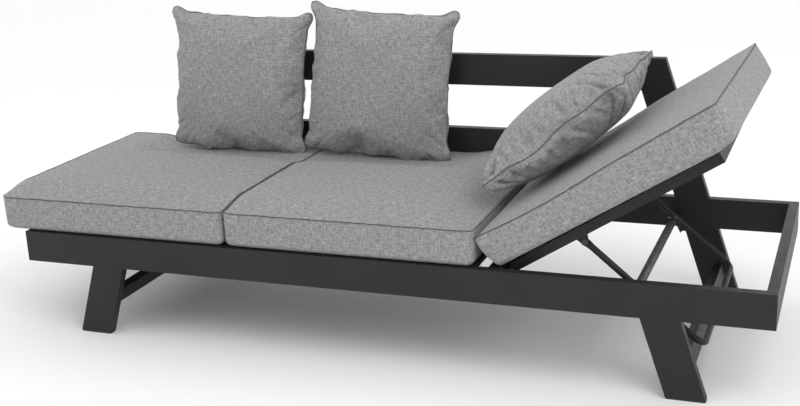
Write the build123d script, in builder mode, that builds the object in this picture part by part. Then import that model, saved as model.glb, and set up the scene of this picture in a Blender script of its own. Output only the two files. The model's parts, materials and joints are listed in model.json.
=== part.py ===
from build123d import *
from math import asin, cos, degrees, radians, sin, tan
import os

# Overall sizes of the frame, in millimetres
frame_length = 2000
frame_depth = 725
seat_rail_top = 281
back_top = 672
cushion_overhang = 62

# Flat hollow section of the rails, legs, posts and back rails
rail_height = 85
rail_thickness = 25
profile_wall = 1.6
leg_profile_width = 89
leg_splay = 17.9
leg_end_set_in = 210
upper_back_rail_height = 90
lower_back_rail_height = 90
lower_back_rail_top = 454
post_cap_thickness = 2.5
foot_thickness = 4
foot_corner_radius = 4
plug_depth = 12

# Leg stretchers, one between the two legs of each end
stretcher_height = 40
stretcher_thickness = 25
stretcher_centre_height = 74
stretcher_shift_out = 15

# Bars that sit inside the legs and hold them to the rails
connector_width = 40
connector_grip = 65
connector_end_gap = 3
connector_clearance = 0.3
screw_radius = 3
screw_head_radius = 5.5
screw_head_slope = 45
screw_socket_radius = 2
screw_socket_depth = 1.8
screw_length = 12
screw_from_joint = 32
screw_hole_clearance = 0.3

# Slats and what carries them
seat_slat_count = 12
seat_slat_width = 60
seat_slat_height = 12
slat_wall = 1.5
ledge_width = 20
ledge_thickness = 4
seat_slat_end_gap = 0.5
beam_thickness = 25
hinge_beam_height = 50
centre_beam_height = 40

# Raising head section
hinge_to_frame_end = 643.2
hinge_height = 266
head_angle = 31.7
head_tube_size = 25
head_tube_wall = 1.5
head_side_gap = 41
head_frame_length = 575
head_start_from_hinge = 16.9
head_slat_count = 6
head_slat_width = 50
head_slat_height = 10
hinge_plate_thickness = 5
hinge_eye_radius = 12
hinge_eye_gap = 1
hinge_side_gap = 0.5
hinge_bolt_radius = 4
hinge_bolt_head_radius = 7
hinge_bolt_head_height = 5
hinge_nut_height = 6.5
nut_side_gap = 0.3
running_clearance = 0.05
tight_clearance = 0.02

# Bent tube prop with its ratchet plates
prop_pivot_distance = 210.1
prop_pivot_below = 36.4
prop_arm_angle = 40.1
prop_arm_length = 365.7
prop_tube_radius = 8
prop_bend_radius = 30
prop_eye_radius = 9
prop_eye_thickness = 4
prop_eye_length = 12
prop_flare_end = 28
lug_thickness = 5
lug_root_width = 30
lug_side_gap = 0.5
lug_set_in = 5.2
rivet_radius = 4
rivet_bore_radius = 1.5
rivet_head_radius = 6.5
rivet_head_thickness = 1.5
catch_bar_radius = 11
catch_bar_wall = 1.5
catch_clearance = 0.6
notch_count = 4
first_notch_distance = 168
notch_pitch = 47
notch_depth = 22
notch_hook_angle = 20
notch_mouth_angle = 55
nose_radius = 20
ratchet_thickness = 4
ratchet_tail = 22

# Cushions and pillows
cushion_side_thickness = 94
cushion_crown = 11
cushion_edge_set_in = 9
cushion_low_edge_height = 14
cushion_slope_set_in = 36
cushion_plateau_set_in = 90
cushion_draw_in = 4
cushion_front_set_in = 4
cushion_gap = 4
seat_cushion_to_hinge = 61
head_cushion_length = 654
head_cushion_start = 6
soft_gap = 0.3
pieces_per_side = 8
pillow_draw_in = 16
pillow_face_share = 0.42
pillow_shoulder_share = 0.72
pillow_shoulder_height_share = 0.62
seat_pillow_width = 450
seat_pillow_height = 420
seat_pillow_front_bulge = 80
seat_pillow_back_bulge = 55
seat_pillow_lean = 7.5
left_pillow_offset = -634
left_pillow_turn = -1.5
middle_pillow_offset = -176
middle_pillow_turn = -3.5
head_pillow_size = 440
head_pillow_bulge = 87
head_pillow_distance = 241
head_pillow_tilt = 6.6
head_pillow_y = 7

# One overrun for every cut
overrun = 5

# Places worked out from the sizes above
frame_centre_x = cushion_overhang / 2
frame_left_x = frame_centre_x - frame_length / 2
frame_right_x = frame_centre_x + frame_length / 2
outer_y = frame_depth / 2
inner_y = outer_y - rail_thickness
rail_bottom = seat_rail_top - rail_height
splay_slope = tan(radians(leg_splay))
leg_half_width = leg_profile_width / cos(radians(leg_splay)) / 2
leg_inner_half_width = leg_half_width - profile_wall / cos(radians(leg_splay))
leg_hollow_thickness = rail_thickness - 2 * profile_wall
hinge_x = frame_right_x - hinge_to_frame_end
hinge_beam_right = hinge_x - hinge_eye_radius - hinge_eye_gap
slat_floor = seat_rail_top - seat_slat_height
head_half_width = inner_y - head_side_gap
head_tube_inner_y = head_half_width - head_tube_size
slat_top_above_hinge = seat_rail_top - hinge_height
tube_top_above_hinge = slat_top_above_hinge - head_slat_height
tube_bottom_above_hinge = tube_top_above_hinge - head_tube_size
head_end_from_hinge = head_start_from_hinge + head_frame_length
lug_outer_y = head_half_width - lug_set_in
lug_inner_y = lug_outer_y - lug_thickness
prop_arm_offset = lug_inner_y - lug_side_gap - prop_eye_thickness / 2
notch_radius = catch_bar_radius + catch_clearance
screw_head_height = (screw_head_radius - screw_radius) / tan(radians(screw_head_slope))

# Directions of the raised head section and of the prop
head_along = Vector(cos(radians(head_angle)), 0, sin(radians(head_angle)))
head_up = Vector(-sin(radians(head_angle)), 0, cos(radians(head_angle)))
hinge_point = Vector(hinge_x, 0, hinge_height)
prop_pivot = hinge_point + head_along * prop_pivot_distance - head_up * prop_pivot_below
arm_along = Vector(cos(radians(prop_arm_angle)), 0, -sin(radians(prop_arm_angle)))
arm_up = Vector(sin(radians(prop_arm_angle)), 0, cos(radians(prop_arm_angle)))
catch_bar_centre = prop_pivot + arm_along * first_notch_distance - arm_up * notch_depth


def side_plane(y):
    """Upright plane across the depth; an extrusion goes towards the front."""
    return Plane(origin=(0, y, 0), x_dir=(1, 0, 0), z_dir=(0, -1, 0))


def cross_plane(x):
    """Upright plane across the length; an extrusion goes towards the head end."""
    return Plane(origin=(x, 0, 0), x_dir=(0, 1, 0), z_dir=(1, 0, 0))


def head_side_plane(y):
    """Side plane of the raised section, with its origin on the hinge line."""
    return Plane(origin=hinge_point + Vector(0, y, 0), x_dir=head_along, z_dir=(0, -1, 0))


def head_flat_plane(height):
    """Plane of the raised section's face, at a height above the hinge line."""
    return Plane(origin=hinge_point + head_up * height, x_dir=head_along, z_dir=head_up)


def head_cross_plane(along, height):
    """Plane square to the raised section's length."""
    origin = hinge_point + head_along * along + head_up * height
    return Plane(origin=origin, x_dir=(0, 1, 0), z_dir=head_along)


def arm_side_plane(y):
    """Side plane of the prop, with its origin on the pivot."""
    return Plane(origin=prop_pivot + Vector(0, y, 0), x_dir=arm_along, z_dir=(0, -1, 0))


def leg_centre_x(side, z):
    """Middle of the slanted line that a leg and the post above it share."""
    reach = frame_length / 2 - leg_end_set_in - leg_half_width + (rail_bottom - z) * splay_slope
    return frame_centre_x + side * reach


def leg_points(side, low, high, half_width):
    """Corners of a stretch of a slanted leg or post, seen from the front."""
    return [
        (leg_centre_x(side, low) - half_width, low),
        (leg_centre_x(side, low) + half_width, low),
        (leg_centre_x(side, high) + half_width, high),
        (leg_centre_x(side, high) - half_width, high),
    ]


def face_from(points):
    """Straight-sided face on the current sketch plane."""
    Polygon(*points, align=None)


def save(piece, label):
    """Name a finished piece and write it."""
    piece.part.label = label
    export_step(piece.part, f"parts/{label}.step")


# Seat frame: four hollow rails with mitred corners
def make_long_rail(depth_side):
    outer = depth_side * outer_y
    inner = depth_side * inner_y
    with BuildPart() as rail:
        with BuildSketch(Plane.XY.offset(rail_bottom)):
            face_from([
                (frame_left_x, outer),
                (frame_right_x, outer),
                (frame_right_x - rail_thickness, inner),
                (frame_left_x + rail_thickness, inner),
            ])
        extrude(amount=rail_height)
        with BuildSketch(cross_plane(frame_left_x - overrun)):
            with Locations(((outer + inner) / 2, rail_bottom + rail_height / 2)):
                Rectangle(leg_hollow_thickness, rail_height - 2 * profile_wall)
        extrude(amount=frame_length + 2 * overrun, mode=Mode.SUBTRACT)
        top = seat_rail_top + overrun if depth_side > 0 else seat_rail_top - rail_height / 2
        for side in (-1, 1):
            with BuildSketch(side_plane((outer + inner + leg_hollow_thickness) / 2)):
                half_slot = connector_width / 2 + connector_clearance
                face_from(leg_points(side, rail_bottom - overrun, top, half_slot))
            extrude(amount=leg_hollow_thickness, mode=Mode.SUBTRACT)
            rail_screw = connector_screw_places(side, depth_side)[0]
            cut_screw_holes(depth_side, [rail_screw], profile_wall + overrun, screw_hole_clearance)
    return rail


def make_end_rail(length_side):
    outer = frame_centre_x + length_side * frame_length / 2
    inner = outer - length_side * rail_thickness
    with BuildPart() as rail:
        with BuildSketch(Plane.XY.offset(rail_bottom)):
            face_from([(outer, -outer_y), (outer, outer_y), (inner, inner_y), (inner, -inner_y)])
        extrude(amount=rail_height)
        with BuildSketch(side_plane(outer_y + overrun)):
            with Locations(((outer + inner) / 2, rail_bottom + rail_height / 2)):
                Rectangle(leg_hollow_thickness, rail_height - 2 * profile_wall)
        extrude(amount=frame_depth + 2 * overrun, mode=Mode.SUBTRACT)
    return rail


# Legs, feet and back posts
def connector_screw_places(side, depth_side):
    """Heights of the screws that hold one connector: rail first, then leg, then post."""
    heights = [rail_bottom + rail_height / 2, rail_bottom - screw_from_joint]
    if depth_side > 0:
        heights.append(seat_rail_top + screw_from_joint)
    return [(leg_centre_x(side, z), z) for z in heights]


def screw_face_y(depth_side):
    """Face that the screws enter by: the inner one at the front, the outer one at the back."""
    return outer_y if depth_side > 0 else -inner_y


def cut_screw_holes(depth_side, places, depth, clearance):
    """Countersunk holes for screws, cut into the current part from that face."""
    with BuildSketch(side_plane(screw_face_y(depth_side))) as shanks:
        with Locations(*places):
            Circle(screw_radius + clearance)
    extrude(shanks.sketch, amount=depth, mode=Mode.SUBTRACT)
    with BuildSketch(side_plane(screw_face_y(depth_side))) as heads:
        with Locations(*places):
            Circle(screw_head_radius + clearance)
    extrude(heads.sketch, amount=screw_head_height, taper=screw_head_slope, mode=Mode.SUBTRACT)


def make_slanted_profile(side, depth_side, low, high):
    middle_y = depth_side * (outer_y + inner_y) / 2
    with BuildPart() as profile:
        with BuildSketch(side_plane(middle_y + rail_thickness / 2)):
            face_from(leg_points(side, low, high, leg_half_width))
        extrude(amount=rail_thickness)
        with BuildSketch(side_plane(middle_y + leg_hollow_thickness / 2)):
            face_from(leg_points(side, low - overrun, high + overrun, leg_inner_half_width))
        extrude(amount=leg_hollow_thickness, mode=Mode.SUBTRACT)
        places = [p for p in connector_screw_places(side, depth_side) if low < p[1] < high]
        cut_screw_holes(depth_side, places, profile_wall + overrun, screw_hole_clearance)
    return profile


def make_foot(side, depth_side):
    """Plastic foot: a rounded sole with a plug that sits in the leg."""
    middle_y = depth_side * (outer_y + inner_y) / 2
    plug_half_width = leg_inner_half_width - connector_clearance
    plug_thickness = leg_hollow_thickness - 2 * connector_clearance
    with BuildPart() as foot:
        with BuildSketch(Plane.XY):
            with Locations((leg_centre_x(side, foot_thickness), middle_y)):
                RectangleRounded(2 * leg_half_width, rail_thickness, foot_corner_radius)
        extrude(amount=foot_thickness)
        with BuildSketch(side_plane(middle_y + plug_thickness / 2)):
            top = foot_thickness + plug_depth
            face_from(leg_points(side, foot_thickness, top, plug_half_width))
        extrude(amount=plug_thickness)
    return foot


def make_post_cap(side):
    """Cap that closes the top of a back post, level with the upper back rail."""
    middle_y = (outer_y + inner_y) / 2
    cap_low = back_top - post_cap_thickness
    plug_half_width = leg_inner_half_width - connector_clearance
    plug_thickness = leg_hollow_thickness - 2 * connector_clearance
    with BuildPart() as cap:
        with BuildSketch(side_plane(outer_y)):
            face_from(leg_points(side, cap_low, back_top, leg_half_width))
        extrude(amount=rail_thickness)
        with BuildSketch(side_plane(middle_y + plug_thickness / 2)):
            face_from(leg_points(side, cap_low - plug_depth, cap_low, plug_half_width))
        extrude(amount=plug_thickness)
    return cap


def make_connector(side, depth_side):
    """Flat bar inside a leg; at the back it runs on through the rail into the post."""
    middle_y = depth_side * (outer_y + inner_y) / 2
    thickness = leg_hollow_thickness - 2 * connector_clearance
    low = rail_bottom - connector_grip
    high = seat_rail_top - profile_wall - connector_end_gap
    if depth_side > 0:
        high = seat_rail_top + connector_grip
    with BuildPart() as bar:
        with BuildSketch(side_plane(middle_y + thickness / 2)):
            face_from(leg_points(side, low, high, connector_width / 2))
        extrude(amount=thickness)
        depth = screw_length + connector_clearance
        cut_screw_holes(depth_side, connector_screw_places(side, depth_side), depth, tight_clearance)
    return bar


def make_frame_screws():
    """Countersunk socket screws with flush heads, one group of separate solids."""
    with BuildPart() as screws:
        for side in (-1, 1):
            for depth_side in (-1, 1):
                places = connector_screw_places(side, depth_side)
                with BuildSketch(side_plane(screw_face_y(depth_side))):
                    with Locations(*places):
                        Circle(screw_head_radius)
                extrude(amount=screw_head_height, taper=screw_head_slope)
                with BuildSketch(side_plane(screw_face_y(depth_side))):
                    with Locations(*places):
                        Circle(screw_radius)
                extrude(amount=screw_length)
                with BuildSketch(side_plane(screw_face_y(depth_side))):
                    with Locations(*places):
                        RegularPolygon(screw_socket_radius, 6)
                extrude(amount=screw_socket_depth, mode=Mode.SUBTRACT)
    return screws


def make_stretcher(side):
    """Hollow bar between the front and rear leg, turned with the splay."""
    lean = side * leg_splay
    centre_x = leg_centre_x(side, stretcher_centre_height)
    centre_x += side * stretcher_shift_out / cos(radians(leg_splay))
    with BuildPart() as stretcher:
        with BuildSketch(side_plane(inner_y)):
            with Locations(Location((centre_x, stretcher_centre_height, 0), (0, 0, lean))):
                Rectangle(stretcher_thickness, stretcher_height)
                hollow = 2 * profile_wall
                Rectangle(stretcher_thickness - hollow, stretcher_height - hollow, mode=Mode.SUBTRACT)
        extrude(amount=2 * inner_y)
    return stretcher


# Backrest rails between the posts, with ends cut to the posts' slope
def make_back_rail(top, height):
    middle_y = (outer_y + inner_y) / 2
    low = top - height
    left_points = [(leg_centre_x(-1, z) + leg_half_width, z) for z in (low, top)]
    right_points = [(leg_centre_x(1, z) - leg_half_width, z) for z in (top, low)]
    with BuildPart() as rail:
        with BuildSketch(side_plane(middle_y + rail_thickness / 2)):
            face_from(left_points + right_points)
        extrude(amount=rail_thickness)
        with BuildSketch(cross_plane(frame_left_x)):
            with Locations((middle_y, top - height / 2)):
                Rectangle(leg_hollow_thickness, height - 2 * profile_wall)
        extrude(amount=frame_length, mode=Mode.SUBTRACT)
    return rail


# Slats of the fixed seat and what they rest on
def channel_face(width, height):
    """Upside-down channel section with its top middle at the current place."""
    with Locations((0, -height / 2)):
        Rectangle(width, height)
    with Locations((0, -(height + slat_wall) / 2)):
        Rectangle(width - 2 * slat_wall, height - slat_wall, mode=Mode.SUBTRACT)


def make_seat_slats():
    first = frame_left_x + rail_thickness
    last = hinge_beam_right - beam_thickness
    pitch = (last - first) / seat_slat_count
    slat_length = 2 * (inner_y - seat_slat_end_gap)
    with BuildPart() as slats:
        for index in range(seat_slat_count):
            centre = first + (index + 1 / 2) * pitch
            slat_place = Plane(
                origin=(centre, slat_length / 2, seat_rail_top), x_dir=(1, 0, 0), z_dir=(0, -1, 0)
            )
            with BuildSketch(slat_place):
                channel_face(seat_slat_width, seat_slat_height)
            extrude(amount=slat_length)
    return slats


def make_slat_ledge(depth_side):
    start = frame_left_x + rail_thickness
    length = hinge_beam_right - beam_thickness - start
    with BuildPart() as ledge:
        with BuildSketch(cross_plane(start)):
            with Locations((depth_side * (inner_y - ledge_width / 2), slat_floor - ledge_thickness / 2)):
                Rectangle(ledge_width, ledge_thickness)
        extrude(amount=length)
    return ledge


def hollow_bar_section(width, height, wall):
    Rectangle(width, height)
    Rectangle(width - 2 * wall, height - 2 * wall, mode=Mode.SUBTRACT)


def make_hinge_beam():
    with BuildPart() as beam:
        with BuildSketch(side_plane(inner_y)):
            with Locations((hinge_beam_right - beam_thickness / 2, slat_floor - hinge_beam_height / 2)):
                hollow_bar_section(beam_thickness, hinge_beam_height, profile_wall)
        extrude(amount=2 * inner_y)
    return beam


def make_centre_beam():
    start = frame_left_x + rail_thickness
    with BuildPart() as beam:
        with BuildSketch(cross_plane(start)):
            with Locations((0, slat_floor - centre_beam_height / 2)):
                hollow_bar_section(beam_thickness, centre_beam_height, profile_wall)
        extrude(amount=hinge_beam_right - beam_thickness - start)
    return beam


def make_catch_bar():
    with BuildPart() as bar:
        with BuildSketch(side_plane(inner_y)):
            with Locations((catch_bar_centre.X, catch_bar_centre.Z)):
                Circle(catch_bar_radius)
                Circle(catch_bar_radius - catch_bar_wall, mode=Mode.SUBTRACT)
        extrude(amount=2 * inner_y)
    return bar


# Hinge: a bracket on the beam, a plate on the head frame, a bolt and a nut
plate_outer_y = head_tube_inner_y
plate_inner_y = plate_outer_y - hinge_plate_thickness
bracket_outer_y = plate_inner_y - hinge_side_gap
bracket_inner_y = bracket_outer_y - hinge_plate_thickness


def make_hinge_bracket(depth_side):
    start_y = max(depth_side * bracket_outer_y, depth_side * bracket_inner_y)
    with BuildPart() as bracket:
        with BuildSketch(side_plane(start_y)):
            with Locations((hinge_x, hinge_height)):
                Circle(hinge_eye_radius)
            with Locations(((hinge_beam_right + hinge_x) / 2, hinge_height)):
                Rectangle(hinge_x - hinge_beam_right, 2 * hinge_eye_radius)
            with Locations((hinge_x, hinge_height)):
                Circle(hinge_bolt_radius + tight_clearance, mode=Mode.SUBTRACT)
        extrude(amount=hinge_plate_thickness)
    return bracket


def make_hinge_plate(depth_side):
    start_y = max(depth_side * plate_outer_y, depth_side * plate_inner_y)
    plate_height = tube_top_above_hinge + hinge_eye_radius
    with BuildPart() as plate:
        with BuildSketch(head_side_plane(start_y)):
            Circle(hinge_eye_radius)
            with Locations((head_start_from_hinge / 2, tube_top_above_hinge - plate_height / 2)):
                Rectangle(head_start_from_hinge, plate_height)
            Circle(hinge_bolt_radius + running_clearance, mode=Mode.SUBTRACT)
        extrude(amount=hinge_plate_thickness)
    return plate


def make_hinge_bolts():
    shank_end = plate_outer_y + nut_side_gap + hinge_nut_height
    with BuildPart() as bolts:
        for depth_side in (-1, 1):
            with BuildSketch(side_plane(depth_side * bracket_inner_y)):
                with Locations((hinge_x, hinge_height)):
                    RegularPolygon(hinge_bolt_head_radius, 6)
            extrude(amount=depth_side * hinge_bolt_head_height)
            with BuildSketch(side_plane(depth_side * bracket_inner_y)):
                with Locations((hinge_x, hinge_height)):
                    Circle(hinge_bolt_radius)
            extrude(amount=-depth_side * (shank_end - bracket_inner_y))
    return bolts


def make_hinge_nuts():
    with BuildPart() as nuts:
        for depth_side in (-1, 1):
            with BuildSketch(side_plane(depth_side * (plate_outer_y + nut_side_gap))):
                with Locations((hinge_x, hinge_height)):
                    RegularPolygon(hinge_bolt_head_radius, 6)
                    Circle(hinge_bolt_radius + tight_clearance, mode=Mode.SUBTRACT)
            extrude(amount=-depth_side * hinge_nut_height)
    return nuts


# Head frame: four hollow tubes with mitred corners, slats and two lugs
def make_head_side_tube(depth_side):
    outer = depth_side * head_half_width
    inner = depth_side * head_tube_inner_y
    with BuildPart() as tube:
        with BuildSketch(head_flat_plane(tube_bottom_above_hinge)):
            face_from([
                (head_start_from_hinge, outer),
                (head_end_from_hinge, outer),
                (head_end_from_hinge - head_tube_size, inner),
                (head_start_from_hinge + head_tube_size, inner),
            ])
        extrude(amount=head_tube_size)
        mid_height = tube_bottom_above_hinge + head_tube_size / 2
        with BuildSketch(head_cross_plane(head_start_from_hinge - overrun, mid_height)):
            with Locations(((outer + inner) / 2, 0)):
                Rectangle(head_tube_size - 2 * head_tube_wall, head_tube_size - 2 * head_tube_wall)
        extrude(amount=head_frame_length + 2 * overrun, mode=Mode.SUBTRACT)
    return tube


def make_head_cross_tube(outer, inner):
    """Tube across the head section; outer and inner are distances from the hinge."""
    with BuildPart() as tube:
        with BuildSketch(head_flat_plane(tube_bottom_above_hinge)):
            face_from([
                (outer, -head_half_width),
                (outer, head_half_width),
                (inner, head_tube_inner_y),
                (inner, -head_tube_inner_y),
            ])
        extrude(amount=head_tube_size)
        with BuildSketch(head_side_plane(head_half_width + overrun)):
            with Locations(((outer + inner) / 2, tube_bottom_above_hinge + head_tube_size / 2)):
                Rectangle(head_tube_size - 2 * head_tube_wall, head_tube_size - 2 * head_tube_wall)
        extrude(amount=2 * (head_half_width + overrun), mode=Mode.SUBTRACT)
    return tube


def make_head_slat(index):
    travel = head_frame_length - head_slat_width
    centre = head_start_from_hinge + head_slat_width / 2 + index * travel / (head_slat_count - 1)
    origin = hinge_point + head_along * centre + head_up * slat_top_above_hinge
    slat_place = Plane(
        origin=origin + Vector(0, head_half_width, 0), x_dir=head_along, z_dir=(0, -1, 0)
    )
    with BuildPart() as slat:
        with BuildSketch(slat_place):
            channel_face(head_slat_width, head_slat_height)
        extrude(amount=2 * head_half_width)
    return slat


def make_prop_lug(depth_side):
    """Plate that hangs under a side tube and carries one arm of the prop."""
    start_y = max(depth_side * lug_outer_y, depth_side * lug_inner_y)
    root_left = (prop_pivot_distance - lug_root_width / 2, tube_bottom_above_hinge)
    root_right = (prop_pivot_distance + lug_root_width / 2, tube_bottom_above_hinge)
    with BuildPart() as lug:
        with BuildSketch(head_side_plane(start_y)):
            face_from([
                root_left,
                (prop_pivot_distance - prop_eye_radius, -prop_pivot_below),
                (prop_pivot_distance + prop_eye_radius, -prop_pivot_below),
                root_right,
            ])
            with Locations((prop_pivot_distance, -prop_pivot_below)):
                Circle(prop_eye_radius)
                Circle(rivet_radius + tight_clearance, mode=Mode.SUBTRACT)
        extrude(amount=lug_thickness)
    return lug


def make_prop_rivets():
    """Hollow rivets, one through each lug and arm end."""
    inner_end = prop_arm_offset - prop_eye_thickness / 2 - nut_side_gap
    with BuildPart() as rivets:
        for depth_side in (-1, 1):
            with BuildSketch(head_side_plane(depth_side * lug_outer_y)):
                with Locations((prop_pivot_distance, -prop_pivot_below)):
                    Circle(rivet_head_radius)
                    Circle(rivet_bore_radius, mode=Mode.SUBTRACT)
            extrude(amount=-depth_side * rivet_head_thickness)
            with BuildSketch(head_side_plane(depth_side * inner_end)):
                with Locations((prop_pivot_distance, -prop_pivot_below)):
                    Circle(rivet_head_radius)
                    Circle(rivet_bore_radius, mode=Mode.SUBTRACT)
            extrude(amount=depth_side * rivet_head_thickness)
            with BuildSketch(head_side_plane(depth_side * inner_end)):
                with Locations((prop_pivot_distance, -prop_pivot_below)):
                    Circle(rivet_radius)
                    Circle(rivet_bore_radius, mode=Mode.SUBTRACT)
            extrude(amount=-depth_side * (lug_outer_y - inner_end))
    return rivets


# Prop: one bent tube with flattened ends, and a ratchet plate under each arm
def make_prop_frame():
    tube_plane = Plane(origin=prop_pivot, x_dir=arm_along, z_dir=arm_up)
    tube_start = Plane(
        origin=prop_pivot + arm_along * prop_flare_end - Vector(0, prop_arm_offset, 0),
        x_dir=(0, 1, 0),
        z_dir=arm_along,
    )
    with BuildPart() as prop:
        with BuildLine(tube_plane):
            FilletPolyline(
                (prop_flare_end, -prop_arm_offset),
                (prop_arm_length, -prop_arm_offset),
                (prop_arm_length, prop_arm_offset),
                (prop_flare_end, prop_arm_offset),
                radius=prop_bend_radius,
            )
        with BuildSketch(tube_start):
            Circle(prop_tube_radius)
        sweep()
        for depth_side in (-1, 1):
            centre = prop_pivot + Vector(0, depth_side * prop_arm_offset, 0)
            flat_end = centre + arm_along * prop_eye_length
            round_end = centre + arm_along * prop_flare_end
            with BuildSketch(Plane(origin=flat_end, x_dir=(0, 1, 0), z_dir=arm_along)):
                Ellipse(prop_eye_thickness / 2, prop_eye_radius)
            with BuildSketch(Plane(origin=round_end, x_dir=(0, 1, 0), z_dir=arm_along)):
                Circle(prop_tube_radius)
            loft()
            with BuildSketch(arm_side_plane(depth_side * prop_arm_offset + prop_eye_thickness / 2)):
                Circle(prop_eye_radius)
                with Locations((prop_eye_length / 2, 0)):
                    Rectangle(prop_eye_length, 2 * prop_eye_radius)
            extrude(amount=prop_eye_thickness)
            with BuildSketch(arm_side_plane(depth_side * prop_arm_offset + prop_eye_thickness)):
                Circle(rivet_radius + running_clearance)
            extrude(amount=2 * prop_eye_thickness, mode=Mode.SUBTRACT)
    return prop


def on_circle(centre, radius, angle):
    """Point of a circle, at an angle in degrees from the arm's direction."""
    return (
        centre[0] + radius * cos(radians(angle)),
        centre[1] + radius * sin(radians(angle)),
    )


def make_ratchet_plate(depth_side):
    """Plate with hooked notches; each notch rests on the catch bar."""
    top = -prop_tube_radius
    notches = [(first_notch_distance + index * notch_pitch, -notch_depth) for index in range(notch_count)]
    hook = 180 + notch_hook_angle
    first = notches[0]
    last = notches[-1]
    nose_top_angle = 180 - degrees(asin((notch_depth + top) / nose_radius))
    nose_top = (first[0] - (nose_radius ** 2 - (notch_depth + top) ** 2) ** 0.5, top)
    nose_tip = on_circle(first, nose_radius, hook)
    with BuildPart() as plate:
        with BuildSketch(arm_side_plane(depth_side * prop_arm_offset + ratchet_thickness / 2)):
            with BuildLine():
                middle = (hook + nose_top_angle) / 2
                ThreePointArc(nose_top, on_circle(first, nose_radius, middle), nose_tip)
                Line(nose_tip, on_circle(first, notch_radius, hook))
                for index, notch in enumerate(notches):
                    start = on_circle(notch, notch_radius, hook)
                    crest = on_circle(notch, notch_radius, (hook + notch_mouth_angle) / 2)
                    end = on_circle(notch, notch_radius, notch_mouth_angle)
                    ThreePointArc(start, crest, end)
                    if index + 1 < notch_count:
                        Line(end, on_circle(notches[index + 1], notch_radius, hook))
                tail_low = (last[0] + notch_radius, -notch_depth)
                tail_high = (last[0] + ratchet_tail, top)
                Polyline(on_circle(last, notch_radius, notch_mouth_angle), tail_low, tail_high, nose_top)
            make_face()
        extrude(amount=ratchet_thickness)
    return plate


# Cushions: crowned boxes with rounded edges and sides drawn in between their corners
def drawn_in_outline(length, width, draw_in):
    """Four-sided outline whose sides curve in between the corners."""
    points = []
    for turn in range(4):
        side_length, reach = (length, width) if turn % 2 == 0 else (width, length)
        for step in range(pieces_per_side):
            share = 2 * step / pieces_per_side - 1
            across = share * side_length / 2
            out = reach / 2 - draw_in * (1 - share ** 2)
            points.append(Vector(across, -out, 0).rotate(Axis.Z, 90 * turn))
    Polygon(*points, align=None)


def make_cushion(base, length, width):
    """Cushion on a base plane whose origin is the middle of its underside."""
    levels = [
        (0, cushion_edge_set_in),
        (cushion_low_edge_height, 0),
        (cushion_side_thickness - cushion_edge_set_in / 2, 0),
        (cushion_side_thickness + cushion_crown / 2, cushion_slope_set_in),
        (cushion_side_thickness + cushion_crown, cushion_plateau_set_in),
    ]
    with BuildPart() as cushion:
        for height, inset in levels:
            with BuildSketch(base.offset(height)):
                drawn_in_outline(length - 2 * inset, width - 2 * inset, cushion_draw_in)
        loft(ruled=True)
    return cushion


cushion_width = outer_y - cushion_front_set_in + inner_y - soft_gap
cushion_centre_y = inner_y - soft_gap - cushion_width / 2
seat_cushions_left = frame_left_x - cushion_overhang
seat_cushions_right = hinge_x - seat_cushion_to_hinge
seat_cushion_length = (seat_cushions_right - seat_cushions_left - cushion_gap) / 2


def make_seat_cushion(centre_x):
    base = Plane(origin=(centre_x, cushion_centre_y, seat_rail_top + soft_gap))
    return make_cushion(base, seat_cushion_length, cushion_width)


def make_head_cushion():
    along = head_cushion_start + head_cushion_length / 2
    origin = hinge_point + head_along * along + head_up * (slat_top_above_hinge + soft_gap)
    base = Plane(origin=origin + Vector(0, cushion_centre_y, 0), x_dir=head_along, z_dir=head_up)
    return make_cushion(base, head_cushion_length, cushion_width)


def make_pillow(middle_plane, width, height, front_bulge, back_bulge):
    """Pillow with a seam all round its middle plane and two domed faces."""
    levels = [
        (-back_bulge, pillow_face_share),
        (-back_bulge * pillow_shoulder_height_share, pillow_shoulder_share),
        (0, 1),
        (front_bulge * pillow_shoulder_height_share, pillow_shoulder_share),
        (front_bulge, pillow_face_share),
    ]
    with BuildPart() as pillow:
        for level, share in levels:
            with BuildSketch(middle_plane.offset(level)):
                drawn_in_outline(width * share, height * share, pillow_draw_in * share)
        loft(ruled=True)
    return pillow


def make_seat_pillow(offset, turn):
    """Pillow that stands on a seat cushion and leans on the upper back rail."""
    lean = radians(seat_pillow_lean)
    roll = radians(abs(turn))
    up = Vector(0, sin(lean), cos(lean))
    facing = Vector(0, -cos(lean), sin(lean))
    half_width = seat_pillow_width / 2
    half_height = seat_pillow_height / 2
    corner_height = half_height * cos(roll) + half_width * sin(roll)
    crown_top = seat_rail_top + soft_gap + cushion_side_thickness + cushion_crown
    centre_z = crown_top + soft_gap + corner_height * cos(lean)
    back_face_z = centre_z - seat_pillow_back_bulge * sin(lean)
    rise_to_contact = min(back_top - back_face_z, pillow_face_share * corner_height * cos(lean))
    back_face_y = inner_y - soft_gap - rise_to_contact * tan(lean)
    centre_y = back_face_y - seat_pillow_back_bulge * cos(lean)
    origin = Vector(frame_centre_x + offset, centre_y, centre_z)
    right = Vector(1, 0, 0) * cos(radians(turn)) + up * sin(radians(turn))
    plane = Plane(origin=origin, x_dir=right, z_dir=facing)
    return make_pillow(
        plane, seat_pillow_width, seat_pillow_height, seat_pillow_front_bulge, seat_pillow_back_bulge
    )


def make_head_pillow():
    """Pillow that lies on the raised head cushion."""
    tilt = radians(head_pillow_tilt)
    crown_top = slat_top_above_hinge + soft_gap + cushion_side_thickness + cushion_crown
    half_face = head_pillow_size * pillow_face_share / 2
    height = crown_top + soft_gap + head_pillow_bulge * cos(tilt) + half_face * sin(tilt)
    along = head_along * cos(tilt) + head_up * sin(tilt)
    up = head_up * cos(tilt) - head_along * sin(tilt)
    origin = hinge_point + head_along * head_pillow_distance + head_up * height
    plane = Plane(origin=origin + Vector(0, head_pillow_y, 0), x_dir=along, z_dir=up)
    return make_pillow(plane, head_pillow_size, head_pillow_size, head_pillow_bulge, head_pillow_bulge)


os.makedirs("parts", exist_ok=True)

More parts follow.
